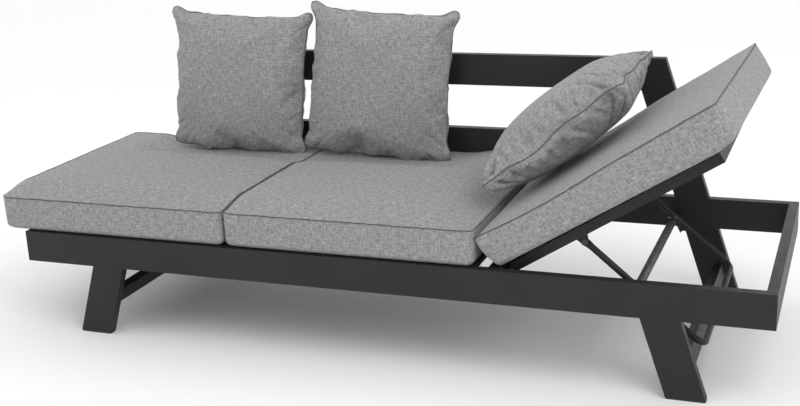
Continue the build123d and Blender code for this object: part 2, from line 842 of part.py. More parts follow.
depth_names = {-1: "front", 1: "rear"}
end_names = {-1: "left", 1: "right"}

for depth_side, depth_name in depth_names.items():
    save(make_long_rail(depth_side), f"{depth_name}_rail")
    save(make_slat_ledge(depth_side), f"{depth_name}_slat_ledge")
    save(make_hinge_bracket(depth_side), f"{depth_name}_hinge_bracket")
    save(make_hinge_plate(depth_side), f"{depth_name}_hinge_plate")
    save(make_head_side_tube(depth_side), f"head_{depth_name}_tube")
    save(make_prop_lug(depth_side), f"{depth_name}_prop_lug")
    save(make_ratchet_plate(depth_side), f"{depth_name}_ratchet_plate")
    for side, end_name in end_names.items():
        corner = f"{depth_name}_{end_name}"
        save(make_slanted_profile(side, depth_side, foot_thickness, rail_bottom), f"{corner}_leg")
        save(make_foot(side, depth_side), f"{corner}_foot")
        save(make_connector(side, depth_side), f"{corner}_leg_connector")

for side, end_name in end_names.items():
    post_top = back_top - post_cap_thickness
    save(make_end_rail(side), f"{end_name}_end_rail")
    save(make_slanted_profile(side, 1, seat_rail_top, post_top), f"{end_name}_back_post")
    save(make_post_cap(side), f"{end_name}_post_cap")
    save(make_stretcher(side), f"{end_name}_leg_stretcher")

save(make_back_rail(back_top, upper_back_rail_height), "upper_back_rail")
save(make_back_rail(lower_back_rail_top, lower_back_rail_height), "lower_back_rail")
save(make_frame_screws(), "frame_screws")
save(make_seat_slats(), "seat_slats")
save(make_hinge_beam(), "hinge_beam")
save(make_centre_beam(), "centre_beam")
save(make_catch_bar(), "catch_bar")
save(make_hinge_bolts(), "hinge_bolts")
save(make_hinge_nuts(), "hinge_nuts")

save(make_head_cross_tube(head_start_from_hinge, head_start_from_hinge + head_tube_size), "head_lower_tube")
save(make_head_cross_tube(head_end_from_hinge, head_end_from_hinge - head_tube_size), "head_upper_tube")
for index in range(head_slat_count):
    save(make_head_slat(index), f"head_slat_{index + 1}")
save(make_prop_rivets(), "prop_rivets")
save(make_prop_frame(), "prop_frame")

save(make_seat_cushion(seat_cushions_left + seat_cushion_length / 2), "left_seat_cushion")
save(make_seat_cushion(seat_cushions_right - seat_cushion_length / 2), "middle_seat_cushion")
save(make_head_cushion(), "head_cushion")
save(make_seat_pillow(left_pillow_offset, left_pillow_turn), "left_pillow")
save(make_seat_pillow(middle_pillow_offset, middle_pillow_turn), "middle_pillow")
save(make_head_pillow(), "head_pillow")
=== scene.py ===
"""Looks of the garden lounger: finishes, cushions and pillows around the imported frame. Metres."""
import json
import random
from math import cos, hypot, pi, radians, sin, tan

import bpy
import numpy as np
from mathutils import Matrix, Vector, noise


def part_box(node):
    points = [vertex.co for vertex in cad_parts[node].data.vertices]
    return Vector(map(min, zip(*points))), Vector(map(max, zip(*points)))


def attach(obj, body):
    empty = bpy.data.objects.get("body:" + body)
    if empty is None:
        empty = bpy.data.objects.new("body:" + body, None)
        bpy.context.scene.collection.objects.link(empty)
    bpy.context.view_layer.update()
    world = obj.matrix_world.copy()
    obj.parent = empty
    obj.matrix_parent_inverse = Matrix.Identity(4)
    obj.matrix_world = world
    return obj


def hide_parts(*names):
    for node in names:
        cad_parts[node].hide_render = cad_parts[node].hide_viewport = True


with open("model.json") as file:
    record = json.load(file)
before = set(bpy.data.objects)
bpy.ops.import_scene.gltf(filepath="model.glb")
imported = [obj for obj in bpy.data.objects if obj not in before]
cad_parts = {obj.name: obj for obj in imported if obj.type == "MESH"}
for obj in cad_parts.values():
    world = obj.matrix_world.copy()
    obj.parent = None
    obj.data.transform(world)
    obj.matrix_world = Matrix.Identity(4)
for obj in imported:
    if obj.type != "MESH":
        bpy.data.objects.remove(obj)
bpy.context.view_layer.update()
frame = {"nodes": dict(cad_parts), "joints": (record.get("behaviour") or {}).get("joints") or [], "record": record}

mm = 0.001

# Camera, solved from the frame's straight edges in the photograph
camera_place = (1.192207, -3.015980, 1.296505)
camera_yaw = -0.3748
camera_pitch = 0.2931
camera_roll = -0.0461
focal_pixels = 1233.418
picture_width_pixels = 800
sensor_width_mm = 36

# Light
room_brightness = 1.05
room_colour = (1.0, 1.0, 1.0)
key_place = (2.6, -2.2, 3.6)
key_size = 2.6
key_power = 45
top_place = (-0.6, 0.4, 3.6)
top_size = 3.0
top_power = 3
light_target = (0.1, 0.0, 0.3)
floor_half = 9.0

# Tones, as shares of the light that a finish gives back
floor_tone = 0.92
cushion_tone = 0.25
pillow_tone = 0.255
thread_tone = 0.09
# The piping is darker than the pillow cover: partly its cloth, partly painted shade of the crevice beside the
# piping
piping_shaded_tone = 0.13
frame_tone = 0.016
slat_tone = 0.018
prop_tone = 0.014
plastic_tone = 0.022
steel_tone = 0.09
aluminium_tone = 0.62

# Surface of the bare metals: how rough, and how far streaks are stretched
steel_roughness = 0.34
steel_streak = 0.1
aluminium_roughness = 0.42
aluminium_streak = 0.04

# Most values of a noise lie between these
noise_low = 0.3
noise_high = 0.7

# Seat and head cushions
cushion_cell = 9.5 * mm
cushion_corner = 16 * mm
cushion_seam_inset = 0.5 * mm
cushion_pressure = 4
cad_crown = 11 * mm
cushion_top_cap = 12 * mm
seat_seam_rise = 17 * mm
head_seam_rise = 0
seam_rise_reach = 120 * mm
cushion_side_cap = 4.5 * mm
cushion_dent = 1.8 * mm
cushion_dent_length = 170 * mm
cushion_pucker = 1.1 * mm
cushion_pucker_length = 34 * mm
cushion_pucker_reach = 45 * mm
cushion_lower_round = 13 * mm
lower_round_reach = 45 * mm
seat_press_room = -7 * mm
head_press_room = 8 * mm
press_fade = 110 * mm
seam_sink = 0.8 * mm
seam_radius = 1.2 * mm
joint_room = 1.2 * mm
neighbour_room = 0.8 * mm
left_cushion_stretch = 9 * mm
head_cushion_low_stretch = 7 * mm
head_cushion_far_stretch = 9 * mm
head_cushion_turn = radians(-2.0)
parallel_end_reach = 300 * mm
head_cushion_dip = 8 * mm
head_cushion_dip_end = 0.55
head_cushion_lift = 7 * mm
head_cushion_overhang = 65 * mm

# Loose pillows; behind_seam is the share of the thickness that lies behind the seam
standing_behind_seam = 0.42
lying_behind_seam = 0.5
pillow_cells = 60
pillow_flat_growth = 10 * mm
pillow_bow = 15 * mm
pillow_start_bulge = 26 * mm
pillow_pressure = 4
pillow_seam_shrink = 0.02
pillow_draw = 9 * mm
ear_draw = 15 * mm
ear_start = 14 * mm
ear_end = 58 * mm
pillow_unevenness = 3 * mm
pillow_unevenness_length = 90 * mm
pillow_corner = 19 * mm
upright_fold = 4 * mm
lying_fold = 14 * mm
lying_underside = 0.8
standing_sink = 8 * mm
fold_spacing = 38 * mm
fold_width = 6.5 * mm
fold_slant = 0.5
fold_shortest = 35 * mm
fold_longest = 85 * mm
fold_start = 3.5 * mm
fold_jitter = 0.35
fold_shallowest = 0.25
ear_fold_place = 44 * mm
ear_fold_slant = 0.8
ear_fold_length = 100 * mm
ear_fold_depth = 1.2
seam_wave_reach = 24 * mm
seam_wave = 2.2 * mm
seam_wave_length = 55 * mm
piping_radius = 1.9 * mm
upright_lean = radians(7.5)
left_pillow_turn = radians(-2.2)
middle_pillow_turn = radians(-3.4)
head_pillow_tilt = radians(6.6)

# Cloth settings that the cushions and the pillows share
cloth_frames = 20
cloth_mass = 0.3
cloth_stiffness = 15
cloth_bending = 0.9
cloth_air_drag = 5
cloth_quality = 5

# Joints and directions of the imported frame
joints = {joint["name"]: joint for joint in frame["joints"]}
slope = Vector(joints["pillow_slide"]["axis"]).normalized()
depth_axis = Vector((0, 1, 0))


class Nodes:
    """A material's node tree, with short calls for the nodes used here."""

    def __init__(self, name):
        self.material = bpy.data.materials.new(name)
        self.material.use_nodes = True
        self.tree = self.material.node_tree
        self.shader = self.tree.nodes["Principled BSDF"]
        coordinates = self.add("ShaderNodeTexCoord")
        self.place = coordinates.outputs["Object"]
        self.normal = coordinates.outputs["Normal"]

    def add(self, kind, **settings):
        node = self.tree.nodes.new(kind)
        for key, value in settings.items():
            setattr(node, key, value)
        return node

    def put(self, value, socket):
        """A link if value is a socket, or else a plain value."""
        if isinstance(value, bpy.types.NodeSocket):
            self.tree.links.new(value, socket)
        else:
            socket.default_value = value

    def shade(self, name, value):
        """A link or a plain value for the shader's input of that name."""
        self.put(value, self.shader.inputs[name])

    def math(self, operation, first, second=0.0, third=0.0, clamp=False):
        node = self.add("ShaderNodeMath", operation=operation, use_clamp=clamp)
        for socket, value in zip(node.inputs, (first, second, third)):
            self.put(value, socket)
        return node.outputs[0]

    def mix(self, share, first, second):
        """first where share is 0, second where it is 1: two numbers."""
        node = self.add("ShaderNodeMix", data_type="FLOAT")
        self.put(share, node.inputs[0])
        self.put(first, node.inputs[2])
        self.put(second, node.inputs[3])
        return node.outputs[0]

    def mix_colour(self, share, first, second):
        """first where share is 0, second where it is 1: two colours."""
        node = self.add("ShaderNodeMix", data_type="RGBA")
        self.put(share, node.inputs[0])
        self.put(first, node.inputs[6])
        self.put(second, node.inputs[7])
        return node.outputs[2]

    def split(self, vector):
        node = self.add("ShaderNodeSeparateXYZ")
        self.put(vector, node.inputs[0])
        return node.outputs

    def join(self, x, y, z):
        node = self.add("ShaderNodeCombineXYZ")
        for socket, value in zip(node.inputs, (x, y, z)):
            self.put(value, socket)
        return node.outputs[0]

    def stretched(self, parts, scales):
        """A vector from three parts, each scaled on its own."""
        return self.join(*[self.math("MULTIPLY", part, scale) for part, scale in zip(parts, scales)])

    def noise(self, place, scale, detail=2.0, roughness=0.5):
        node = self.add("ShaderNodeTexNoise")
        self.put(place, node.inputs["Vector"])
        node.inputs["Scale"].default_value = scale
        node.inputs["Detail"].default_value = detail
        node.inputs["Roughness"].default_value = roughness
        return node.outputs["Fac"]

    def spread(self, value, low, high, new_low=0.0, new_high=1.0):
        """A value between low and high, moved to the same share of the way from new_low to new_high."""
        node = self.add("ShaderNodeMapRange")
        for socket, number in zip(node.inputs, (value, low, high, new_low, new_high)):
            self.put(number, socket)
        return node.outputs[0]

    def spread_noise(self, value, new_low=0.0, new_high=1.0):
        """The same for a noise, from the stretch where most of its values lie."""
        return self.spread(value, noise_low, noise_high, new_low, new_high)

    def bump(self, height, distance, strength, normal=None):
        node = self.add("ShaderNodeBump")
        node.inputs["Distance"].default_value = distance
        node.inputs["Strength"].default_value = strength
        self.put(height, node.inputs["Height"])
        if normal is not None:
            self.put(normal, node.inputs["Normal"])
        return node.outputs["Normal"]


def grey(level, tint=(1.0, 1.0, 1.0)):
    """A colour that gives back this share of the light, slightly tinted."""
    return (level * tint[0], level * tint[1], level * tint[2], 1.0)


def woven_fabric(name, level):
    """Melange weave: pale and dark yarns in short streaks along both directions of each panel."""
    thread_pitch = 1.25 * mm
    thread_height = 0.4 * mm
    streak_along = 55
    streak_across = 225
    weft_layer = 7.0
    yarn_detail = 3.0
    yarn_roughness = 0.8
    grain_share = 0.35
    weave_share = 0.35
    darkest_yarn = 0.42
    palest_yarn = 1.75
    yarns_low = 0.84
    yarns_high = 1.51
    most_soiling = 0.14
    soiled_share = 0.75
    crease_height = 1.6 * mm
    tint = (1.0, 0.99, 0.975)
    n = Nodes(name)
    x, y, z = n.split(n.place)
    size_x, size_y, size_z = [n.math("ABSOLUTE", part) for part in n.split(n.normal)]
    faces_x = n.math("GREATER_THAN", size_x, n.math("MAXIMUM", size_y, size_z))
    faces_y = n.math("GREATER_THAN", size_y, n.math("MAXIMUM", size_x, size_z))
    sideways = n.mix(faces_x, x, y)
    upward = n.mix(n.math("MAXIMUM", faces_x, faces_y), y, z)

    along_warp = n.stretched((sideways, upward, 0.0), (streak_across, streak_along, 1.0))
    along_weft = n.stretched((sideways, upward, weft_layer), (streak_along, streak_across, 1.0))
    warp = n.noise(along_warp, 1.0, yarn_detail, yarn_roughness)
    weft = n.noise(along_weft, 1.0, yarn_detail, yarn_roughness)
    grain = n.noise(n.join(sideways, upward, 0.0), scale=1200, roughness=0.7)
    clouds = n.noise(n.place, scale=9, detail=3.0, roughness=0.6)

    yarns = n.math("ADD", warp, weft)
    tone = n.math("MULTIPLY_ADD", grain, grain_share, yarns)
    dark = grey(level * darkest_yarn, tint)
    pale = grey(level * palest_yarn, tint)
    mottled = n.mix_colour(n.spread(tone, yarns_low, yarns_high), dark, pale)
    soiling = n.spread(clouds, 0.35, 0.75, 0.0, most_soiling)
    n.shade("Base Color", n.mix_colour(soiling, mottled, grey(level * soiled_share, tint)))

    step = pi / thread_pitch
    warp_wave = n.math("SINE", n.math("MULTIPLY", sideways, step))
    weft_wave = n.math("SINE", n.math("MULTIPLY", upward, step))
    weave = n.math("MULTIPLY", warp_wave, weft_wave)
    fuzz = n.noise(n.place, scale=1500, roughness=0.7)
    n.shade("Roughness", n.spread_noise(fuzz, 0.82, 0.97))
    n.shade("Sheen Weight", 0.12)
    n.shade("Sheen Roughness", 0.5)
    n.shade("Specular IOR Level", 0.2)
    height = n.math("MULTIPLY_ADD", weave, weave_share, n.math("ADD", fuzz, yarns))
    threads = n.bump(height, thread_height, 0.6)
    creases = n.noise(n.place, scale=38, detail=4.0, roughness=0.65)
    n.shade("Normal", n.bump(creases, crease_height, 0.35, threads))
    return n


def seam_thread(name, level):
    """Tightly turned fabric or thread of a seam, rough with fibres and darker in patches."""
    n = Nodes(name)
    fibres = n.noise(n.place, scale=1300, roughness=0.6)
    patches = n.noise(n.place, scale=60)
    tone = n.mix_colour(n.spread_noise(fibres), grey(level * 0.6), grey(level * 1.3))
    n.shade("Base Color", n.mix_colour(n.spread_noise(patches, 0.0, 0.4), tone, grey(level * 0.7)))
    n.shade("Roughness", n.spread_noise(fibres, 0.8, 0.95))
    n.shade("Normal", n.bump(fibres, 0.4 * mm, 0.7))
    return n


def powder_coat(name, level):
    """Satin powder coat: orange peel, slight changes of tone, dust on top and paler edges."""
    edge_radius = 1.0 * mm
    peel_height = 0.12 * mm
    roughness = 0.46
    tone_change = 0.14
    dust_share = 2.6
    edge_share = 2.3
    tint = (1.04, 1.0, 0.95)
    dust_tint = (1.0, 0.98, 0.94)
    n = Nodes(name)
    peel = n.noise(n.place, scale=750, roughness=0.55)
    wide = n.noise(n.place, scale=5, detail=3.0, roughness=0.6)
    smears = n.noise(n.place, scale=38, detail=4.0, roughness=0.65)
    darker = grey(level * (1 - tone_change), tint)
    paler = grey(level * (1 + tone_change), tint)
    base = n.mix_colour(n.spread_noise(wide), darker, paler)
    upward = n.split(n.normal)[2]
    dust = n.math("MULTIPLY", n.spread(upward, 0.5, 1.0), n.spread(smears, 0.38, 0.72, 0.05, 0.3))
    dusty = n.mix_colour(dust, base, grey(level * dust_share, dust_tint))

    bevel = n.add("ShaderNodeBevel", samples=4)
    bevel.inputs["Radius"].default_value = edge_radius
    geometry = n.add("ShaderNodeNewGeometry")
    turn = n.add("ShaderNodeVectorMath", operation="DOT_PRODUCT")
    n.put(bevel.outputs[0], turn.inputs[0])
    n.put(geometry.outputs["Normal"], turn.inputs[1])
    edge = n.spread(turn.outputs["Value"], 0.995, 0.8, 0.0, 0.3)
    n.shade("Base Color", n.mix_colour(edge, dusty, grey(level * edge_share)))

    n.shade("Roughness", n.spread(smears, 0.3, 0.75, roughness - 0.06, roughness + 0.1))
    n.shade("Normal", n.bump(peel, peel_height, 0.5, bevel.outputs[0]))
    n.shade("Specular IOR Level", 0.3)
    return n


def rubbed_coat(name, level, axis_place):
    """The powder coat of the prop, rubbed through where metal slides on the catch bar."""
    rub_near = 15 * mm
    rub_far = 30 * mm
    bare_tone = 0.42
    bare_metallic = 0.9
    scratch_stretch = (0.4, 6.0, 1.0)
    n = powder_coat(name, level)
    x, y, z = n.split(n.place)
    distance = n.add("ShaderNodeVectorMath", operation="DISTANCE")
    n.put(n.join(x, 0.0, z), distance.inputs[0])
    distance.inputs[1].default_value = (axis_place[0], 0.0, axis_place[2])
    scratches = n.noise(n.stretched((x, y, z), scratch_stretch), scale=240, detail=3.0, roughness=0.7)
    near = n.spread(distance.outputs["Value"], rub_far, rub_near)
    rub = n.math("MULTIPLY", near, n.spread(scratches, 0.5, 0.62), clamp=True)
    painted = n.shader.inputs["Base Color"].links[0].from_socket
    n.shade("Base Color", n.mix_colour(rub, painted, grey(bare_tone)))
    n.shade("Metallic", n.math("MULTIPLY", rub, bare_metallic))
    return n


def bare_metal(name, level, roughness, streak):
    """Drawn or turned bare metal with fine streaks along X and Z, and darker stains."""
    n = Nodes(name)
    lines = n.noise(n.stretched(n.split(n.place), (streak, 1.0, streak)), scale=900, roughness=0.6)
    stains = n.noise(n.place, scale=45, detail=3.0, roughness=0.6)
    tone = n.mix_colour(n.spread_noise(lines), grey(level * 0.85), grey(level * 1.1))
    staining = n.spread(stains, 0.45, 0.75, 0.0, 0.35)
    n.shade("Base Color", n.mix_colour(staining, tone, grey(level * 0.6)))
    n.shade("Metallic", 1.0)
    n.shade("Roughness", n.spread_noise(stains, roughness - 0.07, roughness + 0.12))
    n.shade("Normal", n.bump(lines, 0.05 * mm, 0.5))
    return n


def moulded_plastic(name, level):
    """Dark moulded plastic of the feet and caps, with a fine grain and paler scuffs."""
    n = Nodes(name)
    grain = n.noise(n.place, scale=1100, roughness=0.6)
    scuffs = n.noise(n.place, scale=120, detail=4.0, roughness=0.7)
    scuffing = n.spread(scuffs, 0.55, 0.75, 0.0, 0.5)
    n.shade("Base Color", n.mix_colour(scuffing, grey(level), grey(level * 2.4)))
    n.shade("Roughness", n.spread_noise(grain, 0.5, 0.68))
    n.shade("Normal", n.bump(grain, 0.15 * mm, 0.6))
    return n


def floor_paint(name, level):
    """Matt pale paint with the faintest clouds."""
    n = Nodes(name)
    clouds = n.noise(n.place, scale=0.7, detail=3.0)
    n.shade("Base Color", n.mix_colour(clouds, grey(level * 0.99), grey(level * 1.01)))
    n.shade("Roughness", 0.85)
    n.shade("Specular IOR Level", 0.2)
    return n


def add_mesh(name, vertices, faces, place=Matrix.Identity(4), material=None):
    mesh = bpy.data.meshes.new(name)
    mesh.from_pydata(vertices, [], faces)
    mesh.shade_smooth()
    thing = bpy.data.objects.new(name, mesh)
    thing.matrix_world = place
    bpy.context.scene.collection.objects.link(thing)
    if material:
        mesh.materials.append(material)
    return thing


def points_of(thing):
    count = len(thing.data.vertices)
    flat = np.empty(count * 3)
    thing.data.vertices.foreach_get("co", flat)
    return flat.reshape(count, 3)


def set_points(thing, points):
    thing.data.vertices.foreach_set("co", points.ravel())
    thing.data.update()


def box_in(node, turned):
    """Lowest and highest corner of a CAD node along the axes of a turned frame."""
    points = points_of(frame["nodes"][node]) @ np.array(turned.to_3x3())
    return points.min(0), points.max(0)


def frame_at(axis_x, axis_y, axis_z, centre=(0, 0, 0)):
    """A matrix from three axes and a place."""
    place = Matrix.Identity(4)
    for column, axis in enumerate((axis_x, axis_y, axis_z, centre)):
        for row in range(3):
            place[row][column] = axis[row]
    return place


def inflate(thing, pressure, held=None, drawn=None, draw=0.0):
    """Points of a closed fabric shell after a few frames of filling with air.

    The vertex group named held stays in place, and the one named drawn shrinks by the share draw.
    """
    scene = bpy.context.scene
    cloth = thing.modifiers.new("Fill", "CLOTH")
    settings = cloth.settings
    settings.quality = cloth_quality
    settings.mass = cloth_mass
    settings.tension_stiffness = cloth_stiffness
    settings.compression_stiffness = cloth_stiffness
    settings.shear_stiffness = cloth_stiffness
    settings.bending_stiffness = cloth_bending
    settings.air_damping = cloth_air_drag
    settings.use_pressure = True
    settings.uniform_pressure_force = pressure
    settings.effector_weights.gravity = 0
    if held:
        settings.vertex_group_mass = held
    if drawn:
        settings.shrink_min = 0
        settings.shrink_max = draw
        settings.vertex_group_shrink = drawn
    cloth.point_cache.frame_start = 1
    cloth.point_cache.frame_end = cloth_frames
    for number in range(1, cloth_frames + 1):
        scene.frame_set(number)
    filled = thing.evaluated_get(bpy.context.evaluated_depsgraph_get())
    filled_points = np.array([v.co for v in filled.data.vertices])
    thing.modifiers.remove(cloth)
    scene.frame_set(1)
    return filled_points


def soft_limit(values, limit):
    """Values that level off towards plus or minus the limit."""
    return limit * np.tanh(values / limit)


def round_corner(x, y, half_x, half_y, radius):
    """A point of a rectangle's plan, moved where its corners are round."""
    in_x = abs(x) - (half_x - radius)
    in_y = abs(y) - (half_y - radius)
    if in_x <= 0 or in_y <= 0:
        return x, y
    share = max(in_x, in_y) / hypot(in_x, in_y)
    new_x = half_x - radius + in_x * share
    new_y = half_y - radius + in_y * share
    return (new_x if x > 0 else -new_x), (new_y if y > 0 else -new_y)


def boxed_shell(size, corner, cell):
    """The fabric box of a cushion, as a grid: vertices, faces, and its top and bottom seam loops."""
    counts = [max(4, round(length / cell)) for length in size]
    half = [length / 2 for length in size]
    index = {}
    vertices = []
    for i in range(counts[0] + 1):
        for j in range(counts[1] + 1):
            for k in range(counts[2] + 1):
                outside = i in (0, counts[0]) or j in (0, counts[1]) or k in (0, counts[2])
                if not outside:
                    continue
                x = (2 * i / counts[0] - 1) * half[0]
                y = (2 * j / counts[1] - 1) * half[1]
                x, y = round_corner(x, y, half[0], half[1], corner)
                index[i, j, k] = len(vertices)
                vertices.append((x, y, (2 * k / counts[2] - 1) * half[2]))
    faces = []
    for axis in range(3):
        first, second = [(1, 2), (2, 0), (0, 1)][axis]
        for end in (0, counts[axis]):
            for a in range(counts[first]):
                for b in range(counts[second]):
                    quad = []
                    for step_a, step_b in ((0, 0), (1, 0), (1, 1), (0, 1)):
                        key = [0, 0, 0]
                        key[axis] = end
                        key[first] = a + step_a
                        key[second] = b + step_b
                        quad.append(index[tuple(key)])
                    faces.append(quad if end else quad[::-1])
    top = counts[2]
    loop = [(i, 0) for i in range(counts[0])] + [(counts[0], j) for j in range(counts[1])]
    loop += [(i, counts[1]) for i in range(counts[0], 0, -1)] + [(0, j) for j in range(counts[1], 0, -1)]
    return vertices, faces, [index[i, j, top] for i, j in loop], [index[i, j, 0] for i, j in loop]


def add_tube(name, points, radius, place, material, body):
    """A closed round cord along a loop of points, such as a seam or piping."""
    curve = bpy.data.curves.new(name, "CURVE")
    curve.dimensions = "3D"
    curve.bevel_depth = radius
    curve.bevel_resolution = 2
    curve.resolution_u = 2
    spline = curve.splines.new("NURBS")
    spline.points.add(len(points) - 1)
    for point, co in zip(spline.points, points):
        point.co = (*co, 1)
    spline.use_cyclic_u = True
    spline.order_u = 3
    curve.materials.append(material)
    thing = bpy.data.objects.new(name, curve)
    thing.matrix_world = place
    bpy.context.scene.collection.objects.link(thing)
    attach(thing, body)
    return thing


def waviness(point, length, seed):
    """Smooth noise from -1 to 1 at a place, with waves of about that length."""
    return noise.noise(Vector(point) / length + Vector((seed, seed * 2, seed * 3)))


def smooth_step(value, start, end):
    """0 up to start, 1 from end on, and a smooth rise between them."""
    share = min(1.0, max(0.0, (value - start) / (end - start)))
    return share * share * (3 - 2 * share)


def raise_top(shaped, rest, half, rise, level_right):
    """The top panel is pulled over the front edge, so its other seams lie higher than the front one.

    The seam at the right end stays level with the front one where level_right says so.
    """
    for number, point in enumerate(rest):
        height = (point[2] + half[2]) / (2 * half[2])
        share = smooth_step(point[1] + half[1], 0, seam_rise_reach)
        if level_right:
            share *= smooth_step(half[0] - point[0], 0, seam_rise_reach)
        shaped[number, 2] += rise * height * share


def round_lower_edge(shaped, rest, half):
    """The sides of a cushion turn in towards its underside."""
    for number, point in enumerate(rest):
        above = point[2] + half[2]
        for axis in (0, 1):
            inward = half[axis] - abs(point[axis])
            if above < cushion_lower_round and inward < lower_round_reach:
                drop = min(1.0, 1 - above / cushion_lower_round)
                arc = 1 - (1 - drop * drop) ** 0.5
                inset = cushion_lower_round * arc * (1 - inward / lower_round_reach)
                shaped[number, axis] -= inset if point[axis] > 0 else -inset


def press_down(shaped, rest, half, centre, turned, pillows, room):
    """Where a pillow stands or lies on it, the crown is no higher than the CAD solid's crown plus room."""
    for pillow in pillows:
        low, high = box_in(pillow, turned)
        for number, point in enumerate(rest):
            if point[2] < half[2] - cushion_cell / 2:
                continue
            beyond_x = max(low[0] - centre[0] - point[0], point[0] - high[0] + centre[0], 0)
            beyond_y = max(low[1] - centre[1] - point[1], point[1] - high[1] + centre[1], 0)
            share = 1 - smooth_step(hypot(beyond_x, beyond_y), 0, press_fade)
            crown = shaped[number, 2] - half[2]
            shaped[number, 2] -= share * max(0, crown - cad_crown - room)


def clear_back_rails(shaped, place):
    """Points of a cushion, kept in front of the back rails."""
    outward = np.array(place.to_3x3())[1]
    rail_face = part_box("lower_back_rail")[0][1]
    too_far = shaped @ outward + place.translation[1] - (rail_face - seam_radius - neighbour_room)
    return shaped - np.maximum(0, too_far)[:, None] * outward


def clear_seat(shaped, place):
    """Points of the head cushion, kept off the rails and the seat cushion at the hinge's upper limit."""
    hinge = joints["head_hinge"]
    centre = Vector(hinge["pos_m"])
    lift = Matrix.Rotation(radians(hinge["range_deg"][1]), 4, Vector(hinge["axis"]))
    lifted = Matrix.Translation(centre) @ lift @ Matrix.Translation(-centre) @ place
    turned = np.array(lifted.to_3x3())
    shift = np.array(lifted.translation)
    raised = shaped @ turned.T + shift
    rail_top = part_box("front_rail")[1][2]
    seat_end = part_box("middle_seat_cushion")[1][0] - joints["cushion_slide"]["range_m"][1] + joint_room
    raised[:, 0] = np.maximum(raised[:, 0], seat_end + seam_radius + neighbour_room)
    raised[:, 2] = np.maximum(raised[:, 2], rail_top + neighbour_room)
    return (raised - shift) @ turned


def bend_head_cushion(shaped, rest, half):
    """The head cushion sags near its lower end and stands up at its upper end.

    The lower end itself is slid along the slope until it is parallel to the seat.
    """
    end_shift = 2 * half[1] * tan(head_cushion_turn)
    for number, point in enumerate(rest):
        share = (point[0] + half[0]) / (2 * half[0])
        height = (point[2] + half[2]) / (2 * half[2])
        dip = head_cushion_dip * sin(pi * min(1.0, share / head_cushion_dip_end))
        lift = head_cushion_lift * max(0.0, (share - head_cushion_dip_end) / (1 - head_cushion_dip_end))
        curl = head_cushion_lift * smooth_step(point[0], half[0] - head_cushion_overhang, half[0])
        shaped[number, 2] += (lift - dip) * height + curl * (1 - height)
        from_front = (point[1] + half[1]) / (2 * half[1])
        near_end = 1 - smooth_step(point[0] + half[0], 0, parallel_end_reach)
        shaped[number, 0] += end_shift * from_front * near_end


def filled_cushion(cover, rest, half, seam_points):
    """Points of a cushion's cover after filling: seams held, swelling limited, underside flat."""
    seams = cover.vertex_groups.new(name="seams")
    seams.add(seam_points, 1.0, "REPLACE")
    moved = inflate(cover, cushion_pressure, held="seams") - rest
    cover.vertex_groups.clear()
    moved[:, 2] = soft_limit(moved[:, 2], cushion_top_cap)
    moved[:, :2] = soft_limit(moved[:, :2], cushion_side_cap)
    below = rest[:, 2] < -half[2] + cushion_cell / 2
    moved[below, 2] = np.maximum(moved[below, 2], 0)
    return rest + moved


def pucker(shaped, rest, half, seed):
    """Dents in a cushion's top panel, and puckers beside its seam and on its sides."""
    for number, point in enumerate(rest):
        from_end = half[0] - abs(point[0])
        from_side = half[1] - abs(point[1])
        wave = cushion_pucker * waviness(point, cushion_pucker_length, seed)
        if point[2] > half[2] - cushion_cell / 2:
            near_seam = max(0.0, 1 - min(from_end, from_side) / cushion_pucker_reach)
            dent = cushion_dent * waviness(point, cushion_dent_length, seed)
            shaped[number, 2] += dent * (1 - near_seam) + wave * near_seam
        elif point[2] >= -half[2] + cushion_cell / 2:
            if from_end < cushion_cell / 2:
                shaped[number, 0] += wave * (1 if point[0] > 0 else -1)
            if from_side < cushion_cell / 2:
                shaped[number, 1] += wave * (1 if point[1] > 0 else -1)


def add_cushion(node, body, turned, seed, rise, pillows, close_left=False, close_right=False, turn=0.0,
                stretch=(0.0, 0.0), bend=None, level_right=False):
    """One boxed foam cushion: crowned top, flat underside, full sides and a sewn top seam.

    It lies at the angle turn on its frame, and its ends reach further than the CAD solid by stretch.
    """
    low, high = box_in(node, turned)
    low[0] -= stretch[0]
    high[0] += stretch[1]
    size = high - low - 2 * cushion_seam_inset
    size[2] = high[2] - low[2] - cad_crown
    centre = (low + high) / 2
    centre[2] = low[2] + size[2] / 2
    place = turned @ Matrix.Translation(Vector(centre)) @ Matrix.Rotation(turn, 4, "Z")
    vertices, faces, top_seam, bottom_seam = boxed_shell(size, cushion_corner, cushion_cell)
    cover = add_mesh(node + "_cover", vertices, faces, place, cushion_weave)
    rest = points_of(cover)
    half = size / 2
    shaped = filled_cushion(cover, rest, half, top_seam + bottom_seam)
    pucker(shaped, rest, half, seed)
    shaped[top_seam, 2] -= seam_sink
    if close_left:
        shaped[:, 0] = np.maximum(shaped[:, 0], low[0] - centre[0] - joint_room)
    if close_right:
        shaped[:, 0] = np.minimum(shaped[:, 0], high[0] - centre[0] + joint_room)
    raise_top(shaped, rest, half, rise, level_right)
    round_lower_edge(shaped, rest, half)
    room = head_press_room if bend else seat_press_room
    press_down(shaped, rest, half, centre, turned, pillows, room)
    if bend:
        bend(shaped, rest, half)
        shaped = clear_seat(shaped, place)
    shaped = clear_back_rails(shaped, place)
    set_points(cover, shaped)
    smooth_fabric(cover)
    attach(cover, body)
    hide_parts(node)
    add_tube(node + "_seam", shaped[top_seam], seam_radius, place, cushion_seam, body)


def smooth_fabric(cover):
    """One round of subdivision over the simulated shape."""
    smooth = cover.modifiers.new("Smooth", "SUBSURF")
    smooth.levels = 1
    smooth.render_levels = 1


